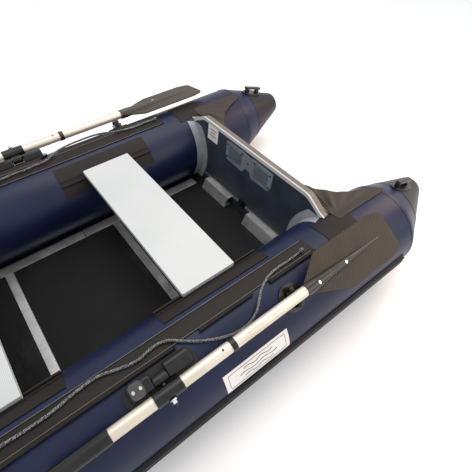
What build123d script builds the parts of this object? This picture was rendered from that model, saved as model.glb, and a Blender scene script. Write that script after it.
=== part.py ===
"""Inflatable dinghy with a rigid transom, sectional floor, two bench seats and two oars.

X points to the bow, Y to port and Z up. The tubes rest on the plane Z = 0. All sizes are in
millimetres. Everything is first laid out from the transom, whose inner face meets the floor
at X = 0, and moved amidships when it is written.
"""

from build123d import *
from math import asin, cos, degrees, pi, radians, sin, tan
import os

# ---- driving dimensions ----------------------------------------------------------------
TUBE_R = 190.0  # buoyancy tube radius
TUBE_Y = 537.0  # half the spacing of the tube centrelines
FABRIC = 1.5  # coated tube fabric
GAP = 0.3  # glue line between a fitting and the tube
BAND = 3.0  # thickness of reinforcing bands

TAIL_START_X = -350.0  # where the straight tubes start to taper
TAIL_SEAM_X = -452.0  # seam between tail cone and tail cap
TAIL_END_X = -640.0
TAIL_END_R = 56.0
TAIL_END_Y = 502.0  # the tails are drawn a little together
TAIL_END_Z = 233.0
STRAKE_AFT_X = -292.0
HANDLE_X = -490.0

BOW_START_X = 1350.0  # where the tubes start to rise
RISE_R = 700.0
RISE_ANGLE = 12.0
SWEEP_A_R = 800.0  # first, long curve of the bow, seen from above
SWEEP_A_ANGLE = 50.0
SWEEP_B_ANGLE = 90.0 - SWEEP_A_ANGLE
SWEEP_B_R = (TUBE_Y - SWEEP_A_R * (1 - cos(radians(SWEEP_A_ANGLE)))) / cos(radians(SWEEP_A_ANGLE))
SWEEP_A_GORES = 3
SWEEP_B_GORES = 2

FLOOR_TOP = 70.0
FLOOR_THICK = 12.0
FLOOR_HALF = 358.0
JOINER_X = (546.0, 1062.0, 1502.0)  # cross joiners between the floor panels
JOINER_WIDTH = 36.0
JOINER_HALF = 313.0
SHEET = 3.0  # wall of the aluminium extrusions
FLOOR_NOSE_X = 1780.0

RAKE = 8.0  # transom lean, degrees
BOARD_THICK = 28.0
BOARD_TOP = 349.0  # up the board, from the floor
BOARD_FOOT = -58.0
BOARD_TOP_HALF = 362.0

BENCH_TOP = 357.0
BENCH_THICK = 20.0
BENCH_WIDTH = 222.0
BENCH_HALF = 410.0
BENCH_X = (480.0, 1234.0)
STRAP_HALF = 220.0
RAIL_OFFSET = 8.5  # seat rail bead, above the tube
BEAD_R = 5.0

OAR_ANGLE = 56.5  # where the stowed oar lies round the tube, from outboard up
OAR_LIFT = 40.0
SHAFT_R = 19.0
SHAFT_WALL = 1.6
SLEEVE_R = 22.5
PIN_X = 797.0
LOCK_ANGLE = 67.0
LOCK_LIFT = 26.0  # oarlock barrel axis above the tube
BARREL_R = 17.0
PIN_R = 6.0
RUNNING = 0.08  # clearance of what turns
HOLDER_X = 304.0

STRIP_ANGLES = (84.0, 103.0)
STRIP_AFT_X = 115.0
STRAKE_ANGLES = (-17.0, 5.0)
ROPE_D = 9.0
KNOT_R = 8.6
KNOT_LIFT = 3.4  # a knot sits higher than its rope, to clear the strip

OAR_JOINT_X = 575.0
GRIP_X = (1010.0, 1130.0)
BLADE_X = (-190.0, 262.0)
SHAFT_AFT_X = 240.0
SOCKET_X = 268.0
BUTTON_X = 612.0
BUTTON_ANGLE = 84.0
PATCH = 2.0  # corner patch, over the fabric
SKIN_DROP = 6.0  # bottom skin's edge, under the rising tube
PATCH_X = (-124.0, 34.0)
BUTTON_R = 3.5
STARBOARD_TURN = 24.0  # the starboard oarlock is stowed turned up by this much

BRACKET_Y = (72.0, 272.0)
DRAIN_UP = 50.0  # drain's height up the board
VALVE_SWEEP = 14.0
VALVE_ANGLE = 148.0

# Each point is the place along the boat, the angle round the tube and the height off the fabric.
PORT_ROUTE = [
    (1292, 93, 9), (1215, 95.5, 9), (1140, 94, 9), (1066, 94.5, 9), (990, 98.5, 9), (930, 99.5, 9),
    (880, 94, 9), (822, 89.5, 9), (765, 93.5, 10), (722, 91, 11), (690, 82.5, 11), (650, 74.5, 9),
    (602, 67, 9), (550, 61.5, 9), (496, 60, 9), (448, 64, 9), (412, 72.5, 10), (380, 81, 11),
    (330, 87.5, 10), (272, 89.5, 9), (214, 88.5, 9), (160, 90, 9),
]
STARBOARD_ROUTE = [
    (1292, 94, 9), (1215, 92.5, 9), (1142, 94.5, 9), (1068, 92, 9), (1004, 94, 9), (950, 92, 9),
    (898, 94, 9), (846, 91.5, 9), (796, 93.5, 9), (752, 91, 10), (716, 92.5, 11), (682, 88.5, 11),
    (650, 81, 11), (612, 73, 10), (568, 66.5, 9), (520, 63, 9), (470, 62.5, 9), (424, 67, 9),
    (390, 76, 10), (356, 84.5, 11), (302, 89, 10), (242, 90.5, 9), (190, 88.5, 9), (140, 90, 9),
]
ROPE_NOTCHES = (690.0, 650.0, 390.0, 362.0)

# ---- frames ------------------------------------------------------------------------------
RISE_AXIS = Axis((BOW_START_X, 0, TUBE_R + RISE_R), (0, -1, 0))
SWEEP_A_AXIS = Axis((BOW_START_X, TUBE_Y - SWEEP_A_R, 0), (0, 0, -1))
SWEEP_B_CENTRE = (
    BOW_START_X + (SWEEP_A_R - SWEEP_B_R) * sin(radians(SWEEP_A_ANGLE)),
    TUBE_Y - SWEEP_A_R + (SWEEP_A_R - SWEEP_B_R) * cos(radians(SWEEP_A_ANGLE)),
    0,
)
SWEEP_B_AXIS = Axis(SWEEP_B_CENTRE, (0, 0, -1))
BOW_FLAT_X = SWEEP_B_CENTRE[0] + SWEEP_B_R
BOW_AHEAD = Vector(cos(radians(RISE_ANGLE)), 0, sin(radians(RISE_ANGLE)))
BOW_UP = Vector(-sin(radians(RISE_ANGLE)), 0, cos(radians(RISE_ANGLE)))
TRANSOM = Location((0, 0, FLOOR_TOP), (0, -RAKE, 0))


def lifted(point):
    """A point of the level bow plan, carried up by the rise of the bow."""
    return Vertex(*point).rotate(RISE_AXIS, RISE_ANGLE).center()


STRAKE_LIFT = 12.0
BOW_POINT = lifted((BOW_FLAT_X, 0, TUBE_R))
CENTRE_X = (BOW_POINT.X + TUBE_R + STRAKE_LIFT + TAIL_END_X) / 2

parts = {}


def on_tube(x, angle, lift):
    """A point beside the port tube, by its angle from outboard up and height off the fabric."""
    reach = TUBE_R + lift
    return Vector(x, TUBE_Y + reach * cos(radians(angle)), TUBE_R + reach * sin(radians(angle)))


def tube_section(x):
    """The port tube's section plane: outboard is its x, up is its y."""
    return Plane(origin=(x, TUBE_Y, TUBE_R), x_dir=(0, 1, 0), z_dir=(1, 0, 0))


def tube_frame(x, angle):
    """A plane through the tube axis whose z leaves the fabric at that angle; its x is +X."""
    away = (0, cos(radians(angle)), sin(radians(angle)))
    return Plane(origin=(x, TUBE_Y, TUBE_R), x_dir=(1, 0, 0), z_dir=away)


def tube_core(extra=GAP, x_aft=-700.0, x_fwd=2400.0):
    """A full cylinder in the port tube's place, to cut fittings to its curve."""
    return extrude(tube_section(x_aft) * Circle(TUBE_R + extra), amount=x_fwd - x_aft)


def ring_sector(low, high, start, stop):
    """A band round the tube between two radii and two angles."""
    outer = CenterArc((0, 0), high, start, stop - start)
    inner = CenterArc((0, 0), low, start, stop - start)
    return make_face([outer, inner, Line(inner @ 0, outer @ 0), Line(inner @ 1, outer @ 1)])


def polar(radius, angle):
    return (radius * cos(radians(angle)), radius * sin(radians(angle)))


def along_tube(profile, x_aft, x_fwd):
    return extrude(tube_section(x_aft) * profile, amount=x_fwd - x_aft)


def turned(profile, axis, angle):
    return revolve(profile, axis=axis, revolution_arc=angle)


def rise(profile):
    """The section carried up the bend at the start of the bow."""
    return [turned(tube_section(BOW_START_X) * profile, RISE_AXIS, RISE_ANGLE)]


def sweep_a(profile):
    """The section carried round the long bow curve, one solid a gore."""
    step = SWEEP_A_ANGLE / SWEEP_A_GORES
    start = tube_section(BOW_START_X) * profile
    gores = [turned(start.rotate(SWEEP_A_AXIS, i * step), SWEEP_A_AXIS, step) for i in range(SWEEP_A_GORES)]
    return [gore.rotate(RISE_AXIS, RISE_ANGLE) for gore in gores]


def sweep_b(profile):
    """The section carried on to the boat's centreline, one solid a gore."""
    step = SWEEP_B_ANGLE / SWEEP_B_GORES
    start = (tube_section(BOW_START_X) * profile).rotate(SWEEP_A_AXIS, SWEEP_A_ANGLE)
    gores = [turned(start.rotate(SWEEP_B_AXIS, i * step), SWEEP_B_AXIS, step) for i in range(SWEEP_B_GORES)]
    return [gore.rotate(RISE_AXIS, RISE_ANGLE) for gore in gores]


def starboard(shape):
    return mirror(shape, about=Plane.XZ)


def both(shapes):
    """Port pieces with their starboard twins."""
    return shapes + [starboard(shape) for shape in shapes]


def solids_of(shapes):
    return [solid for shape in shapes for solid in shape.solids()]


def keep(node, *shapes):
    """Store a node and write it, moved amidships."""
    found = solids_of(shapes)
    parts[node] = found
    moved = [solid.moved(Location((-CENTRE_X, 0, 0))) for solid in found]
    export_step(Compound(children=moved), f"parts/{node}.step")


# ---- buoyancy tubes ------------------------------------------------------------------------
def tail_share(x):
    """How far down the taper a section stands, from 0 to 1."""
    return (TAIL_START_X - x) / (TAIL_START_X - TAIL_END_X)


def tail_radius(x):
    return TUBE_R + (TAIL_END_R - TUBE_R) * tail_share(x)


def tail_centre(x):
    share = tail_share(x)
    return (x, TUBE_Y + (TAIL_END_Y - TUBE_Y) * share, TUBE_R + (TAIL_END_Z - TUBE_R) * share)


def tail_circle(x, inset=0.0):
    plane = Plane(origin=tail_centre(x), x_dir=(0, 1, 0), z_dir=(1, 0, 0))
    return plane * Circle(tail_radius(x) - inset)


def tail_solid(x_fwd, x_aft, inset=0.0):
    return loft([tail_circle(x_fwd, inset), tail_circle(x_aft, inset)], ruled=True)


def make_chambers():
    wall = Circle(TUBE_R) - Circle(TUBE_R - FABRIC)
    side = [along_tube(wall, TAIL_START_X, BOW_START_X)] + rise(wall) + sweep_a(wall)
    keep("port_chamber", *side)
    keep("starboard_chamber", *[starboard(piece) for piece in side])
    keep("bow_chamber", *both(sweep_b(wall)))


def make_tails():
    cone = tail_solid(TAIL_START_X, TAIL_SEAM_X) - tail_solid(TAIL_START_X, TAIL_SEAM_X, FABRIC)
    keep("tail_cones", *both([cone]))
    outer = tail_solid(TAIL_SEAM_X, TAIL_END_X)
    rim = outer.edges().sort_by(Axis.X)[0]
    outer = fillet(rim, 16.0)
    inner = tail_solid(TAIL_SEAM_X, TAIL_END_X + 4.0, FABRIC + 1.0)
    inner = fillet(inner.edges().sort_by(Axis.X)[0], 14.0)
    keep("tail_caps", *both([outer - inner]))


def make_stern_handles():
    """A moulded bar on two posts, over an oval patch that follows the falling tail."""
    _, y_mid, z_mid = tail_centre(HANDLE_X)
    fall = degrees(asin((TUBE_R - TAIL_END_R - TAIL_END_Z + TUBE_R) / (TAIL_START_X - TAIL_END_X)))
    seat = Location((HANDLE_X, y_mid, z_mid + tail_radius(HANDLE_X)), (0, -fall, 0))
    pad = Pos(0, 0, -24) * extrude(Ellipse(70, 36), amount=29)
    pad = seat * fillet(pad.edges().group_by(Axis.Z)[-1], 2.0)
    pad = pad - tail_solid(TAIL_START_X, TAIL_END_X, -GAP)
    bar = Pos(0, 0, 29) * Box(118, 25, 11)
    bar = fillet(bar.edges().filter_by(Axis.Z), 11.0)
    bar = fillet(bar.edges().group_by(Axis.Z)[-1], 4.0)
    posts = [seat * Pos(dx, 0, 14.5) * Box(18, 20, 20) for dx in (-38, 38)]
    handle = pad + seat * bar + posts[0] + posts[1]
    keep("stern_handles", *both([handle]))


def make_strake():
    low, high = STRAKE_ANGLES
    profile = ring_sector(TUBE_R + GAP, TUBE_R + 4, low, high)
    for i in range(3):
        start = low + 3.0 + i * 6.0
        ridge = [
            polar(TUBE_R + 3.5, start),
            polar(TUBE_R + STRAKE_LIFT, start + 1.0),
            polar(TUBE_R + STRAKE_LIFT, start + 2.8),
            polar(TUBE_R + 3.5, start + 3.8),
        ]
        profile = profile + make_face(Polyline(*ridge, close=True))
    run = [along_tube(profile, STRAKE_AFT_X, BOW_START_X)]
    run += rise(profile) + sweep_a(profile) + sweep_b(profile)
    keep("rub_strake", *both(run))


def strip_lip():
    """The free outboard edge of the splash strip, which leans out over the lifeline."""
    edge = STRIP_ANGLES[0]
    corners = [
        polar(TUBE_R + BAND - 0.5, edge + 0.2),
        polar(TUBE_R + 13, edge - 4.0),
        polar(TUBE_R + 15.4, edge - 3.4),
        polar(TUBE_R + BAND - 0.5, edge + 1.6),
    ]
    return make_face(Polyline(*corners, close=True))


def make_splash_strips():
    low, high = STRIP_ANGLES
    band = ring_sector(TUBE_R + GAP, TUBE_R + BAND, low, high)
    profile = band + strip_lip()
    straight = along_tube(profile, STRIP_AFT_X, BOW_START_X)
    for x_mid in ROPE_NOTCHES:
        notch = tube_frame(x_mid, 80.0) * Pos(0, 0, TUBE_R + 12) * Box(46, 60, 18)
        straight = straight - notch
    keep("splash_strips", *both([straight] + rise(profile) + sweep_a(profile)))


# ---- bottom ----------------------------------------------------------------------------------
def skin_section(x, half, edge_z, keel_z):
    """A shallow V of fabric, as a closed outline across the boat."""
    low = 2.0
    corners = [
        (-half, edge_z),
        (0, keel_z),
        (half, edge_z),
        (half, edge_z - low),
        (0, keel_z - low),
        (-half, edge_z - low),
    ]
    plane = Plane(origin=(x, 0, 0), x_dir=(0, 1, 0), z_dir=(1, 0, 0))
    return plane * make_face(Polyline(*corners, close=True))


def tube_underside(angle):
    """The lowest line of the port tube, along the long bow curve."""
    flat = Vertex(BOW_START_X, TUBE_Y, 0).rotate(SWEEP_A_AXIS, angle).center()
    return lifted(flat)


def make_bottom():
    inset = 50.0
    stations = [skin_section(-20.0, TUBE_Y - inset, 6.0, 4.5)]
    stations.append(skin_section(BOW_START_X, TUBE_Y - inset, 6.0, 4.5))
    for angle, deadrise in ((0.0, 10.0), (25.0, 30.0), (50.0, 26.0)):
        point = tube_underside(angle)
        edge = point.Z - SKIN_DROP
        stations.append(skin_section(point.X, point.Y - inset, edge, max(6.0, edge - deadrise)))
    tip = lifted((BOW_FLAT_X, 0, 0))
    stations.append(skin_section(tip.X - 12, 40.0, tip.Z - SKIN_DROP, tip.Z - 12))
    spans = [loft([a, b], ruled=True) for a, b in zip(stations, stations[1:])]
    keep("bottom_skin", *spans)
    keel = Pos(660, 0, 30) * Rot(0, 90, 0) * Cylinder(23.5, 1240)
    keep("keel_tube", fillet(keel.edges(), 20.0))


# ---- floor -------------------------------------------------------------------------------------
def floor_panel(x_aft, x_fwd):
    panel = Pos((x_aft + x_fwd) / 2, 0, FLOOR_TOP - FLOOR_THICK / 2)
    panel = panel * Box(x_fwd - x_aft, 2 * FLOOR_HALF, FLOOR_THICK)
    return chamfer(panel.edges().filter_by(Axis.Z), 3.0)


def make_floor():
    half_web = 2.3
    names = ("floor_panel_aft", "floor_panel_middle", "floor_panel_forward")
    starts = (4.0, JOINER_X[0] + half_web, JOINER_X[1] + half_web)
    for name, x_aft, x_fwd in zip(names, starts, JOINER_X):
        keep(name, floor_panel(x_aft, x_fwd - half_web))
    x_aft = JOINER_X[2] + half_web
    outline = Polyline(
        (x_aft, -340), (x_aft, 340), (x_aft + 120, 330), (FLOOR_NOSE_X, 140),
        (FLOOR_NOSE_X, -140), (x_aft + 120, -330), close=True,
    )
    nose = fillet(make_face(outline).vertices().group_by(Axis.X)[-1], 60.0)
    keep("floor_panel_bow", Pos(0, 0, FLOOR_TOP - FLOOR_THICK) * extrude(nose, amount=FLOOR_THICK))


def make_joiners():
    top = Pos(0, 0, FLOOR_TOP + GAP + SHEET / 2) * Box(JOINER_WIDTH, 2 * JOINER_HALF, SHEET)
    top = chamfer(top.edges().group_by(Axis.Z)[-1].filter_by(Axis.Y), 1.5)
    foot = Pos(0, 0, FLOOR_TOP - FLOOR_THICK - GAP - SHEET / 2) * Box(JOINER_WIDTH, 2 * JOINER_HALF, SHEET)
    web = Pos(0, 0, FLOOR_TOP - FLOOR_THICK / 2) * Box(4.0, 2 * JOINER_HALF, FLOOR_THICK + 4)
    joiner = top + foot + web
    keep("floor_joiners", *[Pos(x, 0, 0) * joiner for x in JOINER_X])


def stringer(x_aft, x_fwd):
    """A channel that clips over the edges of two floor panels."""
    inner = FLOOR_HALF + GAP
    top = FLOOR_TOP + GAP
    foot = FLOOR_TOP - FLOOR_THICK - GAP
    corners = [
        (JOINER_HALF + 3, top), (inner, top), (inner, foot), (inner - 28, foot), (inner - 28, foot - SHEET),
        (inner + 6, foot - SHEET), (inner + 19, foot), (inner + 19, top - 7), (inner + 3, top + SHEET),
        (JOINER_HALF + 4.5, top + SHEET),
    ]
    plane = Plane(origin=(x_aft, 0, 0), x_dir=(0, 1, 0), z_dir=(1, 0, 0))
    return extrude(plane * make_face(Polyline(*corners, close=True)), amount=x_fwd - x_aft)


def make_stringers():
    runs = [stringer(60, 700), stringer(704, 1240)]
    keep("floor_stringers", *both(runs))


# ---- transom ---------------------------------------------------------------------------------
def board_outline(grow=0.0):
    """The board seen from the bow: up is up the board."""
    half = BOARD_TOP_HALF
    corners = [
        (-520, BOARD_FOOT), (-520, 286), (-half - 78, 306), (-half, BOARD_TOP),
        (half, BOARD_TOP), (half + 78, 306), (520, 286), (520, BOARD_FOOT),
    ]
    face = make_face(Polyline(*corners, close=True))
    top_corners = face.vertices().filter_by(lambda v: v.Y > 300)
    face = fillet(top_corners, 70.0)
    return offset(face, grow) if grow else face


def on_board(face, depth, lift=0.0):
    """Extrude a shape drawn on the board's face, forward from it by depth."""
    plane = Plane(origin=(lift, 0, 0), x_dir=(0, 1, 0), z_dir=(1, 0, 0))
    flat = [plane * piece for piece in face.faces()]
    return TRANSOM * Compound(children=solids_of([extrude(piece, amount=depth) for piece in flat]))


def both_tubes(extra):
    core = tube_core(extra, -300, 300)
    return core + starboard(core)


def make_transom():
    board = on_board(board_outline(), -BOARD_THICK) - both_tubes(3.0)
    keep("transom_board", board)
    cap = 13.0
    band = board_outline(3.0) - Pos(0, -cap) * board_outline()
    band = band & Pos(0, 330) * Rectangle(1200, 140)
    trim = on_board(band, BOARD_THICK + 6, -BOARD_THICK - 3) - both_tubes(3.5) - board
    keep("transom_trim", trim)


def make_retainers():
    """The curved flap each side that holds the board to its tube."""
    ring = tube_core(36, -120, 120) - tube_core(GAP, -120, 120)
    face_leg = ring & (TRANSOM * Pos(2.8, TUBE_Y - 145, 145) * Box(5, 290, 290))
    sleeve = tube_core(BAND, -120, 120) - tube_core(GAP, -120, 120)
    tube_leg = sleeve & (TRANSOM * Pos(20.3, TUBE_Y - 145, 145) * Box(40, 290, 290))
    piece = face_leg + tube_leg
    keep("transom_retainers", *both([piece]))


def pad_outline():
    """The clamp pad: two wide fields joined by a narrow waist."""
    corners = [
        (-164, 322), (-164, 250), (-150, 226), (-34, 222), (-16, 250), (16, 250), (34, 222), (150, 226),
        (164, 250), (164, 322), (40, 326), (0, 320), (-40, 326),
    ]
    face = make_face(Polyline(*corners, close=True))
    return fillet(face.vertices().filter_by(lambda v: abs(v.X) > 20), 9.0)


PAD_SCREWS = [(-150, 308), (-150, 246), (150, 308), (150, 246), (-44, 314), (44, 314), (0, 286)]


def make_motor_pads():
    inner = on_board(pad_outline(), 5.0, GAP)
    recess = [on_board(Pos(dx, 274) * RectangleRounded(92, 66, 8), 3.0, GAP + 3.5) for dx in (-92, 92)]
    inner = inner - recess[0] - recess[1]
    keep("motor_pad_inner", inner)
    outer = on_board(Pos(0, 246) * RectangleRounded(300, 170, 16), -6.0, -BOARD_THICK - GAP)
    keep("motor_pad_outer", outer)
    heads = [on_board(Pos(y, z) * Circle(5), 2.2, 5.0 + GAP) for y, z in PAD_SCREWS]
    keep("transom_screws", *heads)


def make_brackets():
    """Folded pieces with a leaning face, which hold the floor's aft end to the board."""
    low = FLOOR_TOP + GAP
    top = low + 46.0
    corners = [
        (8, low), (56, low), (28.5, top), (0.5, top), (0.5, top - SHEET), (26.8, top - SHEET),
        (50.7, low + SHEET), (8, low + SHEET),
    ]
    plane = Plane(origin=(0, BRACKET_Y[0], 0), x_dir=(1, 0, 0), z_dir=(0, -1, 0))
    section = plane * make_face(Polyline(*corners, close=True))
    bracket = extrude(section, amount=BRACKET_Y[0] - BRACKET_Y[1])
    for y, up in ((100, 12), (135, 32), (205, 32), (244, 12)):
        x_mid = 56 - up * 27.5 / 46
        hole = Plane(origin=(x_mid, y, low + up), x_dir=(0, 1, 0), z_dir=(46, 0, 27.5))
        bracket = bracket - hole * Cylinder(4.0, 16)
    keep("floor_brackets", *both([bracket]))
    ribs = Pos(0, 43) * Rectangle(636, 12) - Pos(0, 43) * Rectangle(60, 20)
    strip = on_board(ribs, 6.0, GAP)
    for i in range(3):
        strip = strip - on_board(Pos(0, 40 + i * 3.0) * Rectangle(660, 1.0), 1.5, GAP + 5.0)
    keep("transom_bottom_strip", strip)


def make_drain():
    """The drain through the board, low on the centreline, and its plug."""
    flange = on_board(Pos(0, DRAIN_UP) * RectangleRounded(46, 34, 5), 4.0, GAP)
    collar = on_board(Pos(0, DRAIN_UP) * Circle(14), 10.0, GAP)
    bore = on_board(Pos(0, DRAIN_UP) * Circle(10), 40.0, -20.0)
    keep("drain_fitting", flange + collar - bore)
    stem = on_board(Pos(0, DRAIN_UP) * Circle(9.9), 11.0, GAP)
    head = on_board(Pos(0, DRAIN_UP) * Circle(13), 5.0, 10.5 + GAP)
    grip = on_board(Pos(0, DRAIN_UP) * RectangleRounded(22, 6, 2.5), 10.0, 15.0 + GAP)
    keep("drain_plug", stem + head + grip)


def make_gussets():
    """The fabric that bridges each corner behind the board, with its free edge cut hollow."""
    outline = [
        (-73, 204), (-73, 520), (-330, 520), (-376, 500), (-330, 461), (-260, 429), (-200, 394),
        (-165, 353), (-125, 286), (-98, 216),
    ]
    plate = Pos(0, 0, 371.5) * extrude(make_face(Polyline(*outline, close=True)), amount=2.5)
    plate = plate - tube_core(GAP + 0.3, -360, 300) - tail_solid(TAIL_START_X, TAIL_END_X, -0.6)
    plate = plate - tube_core(PATCH + GAP, PATCH_X[0] - 2, PATCH_X[1] + 2)
    plate = plate - on_board(board_outline(4.0), BOARD_THICK + 10, -BOARD_THICK - 3.5)
    plate = plate.solids().sort_by(SortBy.VOLUME)[-1]
    keep("port_gusset", plate)
    keep("starboard_gusset", starboard(plate))


def make_corner_patches():
    patch = along_tube(ring_sector(TUBE_R + GAP, TUBE_R + PATCH, 74, 113), *PATCH_X)
    board = on_board(board_outline(6.0), -BOARD_THICK - 10, 5.0)
    keep("corner_patches", *both([patch - board]))


def make_labels():
    plate = along_tube(ring_sector(TUBE_R + GAP, TUBE_R + 1.5, 8.5, 33), 372, 640)
    info = on_board(Pos(-281, 296) * RectangleRounded(82, 80, 6), 1.5, GAP)
    keep("label_plates", *both([plate]), info)


# ---- seats ------------------------------------------------------------------------------------
def rail_angle():
    height = BENCH_TOP - BENCH_THICK - 9.0 - TUBE_R
    return 180 - degrees(asin(height / (TUBE_R + RAIL_OFFSET)))


def strap_profile():
    """A wide band with a low ridge along its top edge and the seat rail's bead on a web."""
    angle = rail_angle()
    bead = Pos(*polar(TUBE_R + RAIL_OFFSET, angle)) * Circle(BEAD_R)
    web = ring_sector(TUBE_R + BAND - 0.5, TUBE_R + RAIL_OFFSET, angle - 0.6, angle + 0.6)
    ridge = ring_sector(TUBE_R + BAND - 0.5, TUBE_R + 6, 127, 130)
    return ring_sector(TUBE_R + GAP, TUBE_R + BAND, 110, 152) + web + bead + ridge


def make_seat_straps():
    profile = strap_profile()
    ends = [(x - STRAP_HALF, min(x + STRAP_HALF, BOW_START_X - 2)) for x in BENCH_X]
    runs = [along_tube(profile, x_aft, x_fwd) for x_aft, x_fwd in ends]
    keep("seat_straps", *both(runs))


def bench_board(x_mid):
    board = Pos(x_mid, 0, BENCH_TOP - BENCH_THICK / 2) * Box(BENCH_WIDTH, 2 * BENCH_HALF, BENCH_THICK)
    board = fillet(board.edges().filter_by(Axis.Z), 4.0)
    return fillet(board.edges().group_by(Axis.Z)[-1], 2.0)


def bench_hook(x_mid):
    """The channel under the bench's end, which grips the rail's bead and slides along it."""
    angle = rail_angle()
    centre = polar(TUBE_R + RAIL_OFFSET, angle)
    opening = 52.0
    facing = angle + 180
    grip = ring_sector(BEAD_R + 0.5, BEAD_R + 3.2, facing + opening, facing + 360 - opening)
    channel = along_tube(Pos(*centre) * grip, x_mid - BENCH_WIDTH / 2 + 3, x_mid + BENCH_WIDTH / 2 - 3)
    top = BENCH_TOP - BENCH_THICK
    y_mid = TUBE_Y + centre[0]
    plate = Pos(x_mid, y_mid - 18, top - 1.3) * Box(BENCH_WIDTH - 6, 44, 2.6)
    low = TUBE_R + centre[1] + BEAD_R + 1.5
    stem = Pos(x_mid, y_mid - 3, (low + top - 1) / 2) * Box(BENCH_WIDTH - 6, 5, top - 1 - low)
    return channel + plate + stem


def make_benches():
    for name, x_mid in zip(("aft_bench", "front_bench"), BENCH_X):
        keep(name, bench_board(x_mid))
        keep(f"{name}_hooks", *both([bench_hook(x_mid)]))


# ---- oarlocks and oars ------------------------------------------------------------------------
OAR_AXIS = on_tube(PIN_X, OAR_ANGLE, OAR_LIFT)
BARREL_AXIS = on_tube(PIN_X, LOCK_ANGLE, LOCK_LIFT)
PIN_WAY = (OAR_AXIS - BARREL_AXIS).normalized()


def pin_plane(distance):
    """A plane square to the oarlock pin, that far out from the barrel's axis."""
    return Plane(origin=BARREL_AXIS + PIN_WAY * distance, x_dir=(1, 0, 0), z_dir=PIN_WAY)


def make_oarlock_bases():
    frame = tube_frame(PIN_X, LOCK_ANGLE)
    humps = frame * Pos(-6, 0, TUBE_R - 14) * extrude(SlotOverall(234, 80), amount=22)
    for low, high in ((-104, -23.5), (23.5, 92)):
        hump = Pos((low + high) / 2, -9, TUBE_R + 15) * Box(high - low, 50, 54)
        hump = fillet(hump.edges().filter_by(Axis.X), 12.0)
        hump = fillet(hump.edges().filter_by(Axis.Y).group_by(Axis.Z)[-1], 5.0)
        humps = humps + frame * hump
    bore = frame * Pos(0, 0, TUBE_R + LOCK_LIFT) * Rot(0, 90, 0) * Cylinder(7 + RUNNING, 90)
    keep("oarlock_bases", *both([humps - tube_core() - bore]))


def stowed_starboard(shape):
    """The starboard twin of a piece of the oarlock or oar, turned up about its barrel."""
    return starboard(shape.rotate(Axis(BARREL_AXIS, (1, 0, 0)), STARBOARD_TURN))


def make_barrel():
    frame = tube_frame(PIN_X, LOCK_ANGLE)
    along = frame * Pos(0, 0, TUBE_R + LOCK_LIFT) * Rot(0, 90, 0)
    barrel = along * Cylinder(BARREL_R, 44)
    barrel = fillet(barrel.edges(), 2.5)
    axle = along * Cylinder(7, 88)
    pin = extrude(pin_plane(0) * Circle(PIN_R), amount=86)
    lock = barrel + axle + pin
    keep("port_oarlock_barrel", lock)
    keep("starboard_oarlock_barrel", stowed_starboard(lock))
    hexagon = extrude(pin_plane(70) * RegularPolygon(10.5, 6), amount=10)
    washer = extrude(pin_plane(67.5) * Circle(12), amount=2.5)
    nut = hexagon + washer - extrude(pin_plane(60) * Circle(PIN_R), amount=30)
    keep("port_oarlock_nut", nut)
    keep("starboard_oarlock_nut", stowed_starboard(nut))


def oar_tube(x_aft, x_fwd, radius, wall=0.0):
    """A round length on the oar's axis, solid or tubular."""
    plane = Plane(origin=(x_aft, OAR_AXIS.Y, OAR_AXIS.Z), x_dir=(0, 1, 0), z_dir=(1, 0, 0))
    outline = Circle(radius) - Circle(radius - wall) if wall else Circle(radius)
    return extrude(plane * outline, amount=x_fwd - x_aft)


def make_shafts():
    pin_hole = extrude(pin_plane(10) * Circle(PIN_R + RUNNING), amount=80)
    aft = oar_tube(SHAFT_AFT_X, OAR_JOINT_X, SHAFT_R, SHAFT_WALL)
    collar = oar_tube(OAR_JOINT_X - 9, OAR_JOINT_X + 9, SHAFT_R + 2.5, 2.4)
    spigot = oar_tube(OAR_JOINT_X - 60, OAR_JOINT_X + 70, SHAFT_R - SHAFT_WALL - 0.05, 1.6)
    well = oar_button(BUTTON_R + RUNNING, 40)
    aft_half = (aft + spigot) - well
    fwd_half = oar_tube(OAR_JOINT_X + 0.2, GRIP_X[0], SHAFT_R, SHAFT_WALL) - pin_hole - well
    sleeve = oar_tube(PIN_X - 44, PIN_X + 44, SLEEVE_R, SLEEVE_R - SHAFT_R) - pin_hole
    grip = oar_tube(GRIP_X[0] - 40, GRIP_X[1], SHAFT_R + 3)
    grip = fillet(grip.edges(), 2.5) - oar_tube(GRIP_X[0] - 60, GRIP_X[0], SHAFT_R)
    return aft_half, fwd_half, collar, sleeve, grip


def oar_button(radius, depth=0.0):
    """The snap button that locks the two halves of the oar, square to its shaft."""
    away = Vector(0, cos(radians(BUTTON_ANGLE)), sin(radians(BUTTON_ANGLE)))
    base = Vector(BUTTON_X, OAR_AXIS.Y, OAR_AXIS.Z) + away * (SHAFT_R - SHAFT_WALL - 7)
    plane = Plane(origin=base, x_dir=(1, 0, 0), z_dir=away)
    return extrude(plane * Circle(radius), amount=depth or SHAFT_WALL + 7 + 3)


def blade_outline():
    """The blade seen square on: root forward, tip aft."""
    tip, root = BLADE_X
    corners = [
        (root, 22), (root - 22, 26), (90, 92), (tip + 60, 92), (tip, 74),
        (tip, -74), (tip + 60, -92), (165, -92), (root - 8, -26), (root, -22),
    ]
    face = make_face(Polyline(*corners, close=True))
    return fillet(face.vertices().filter_by(lambda v: v.X < root - 90), 26.0)


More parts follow.
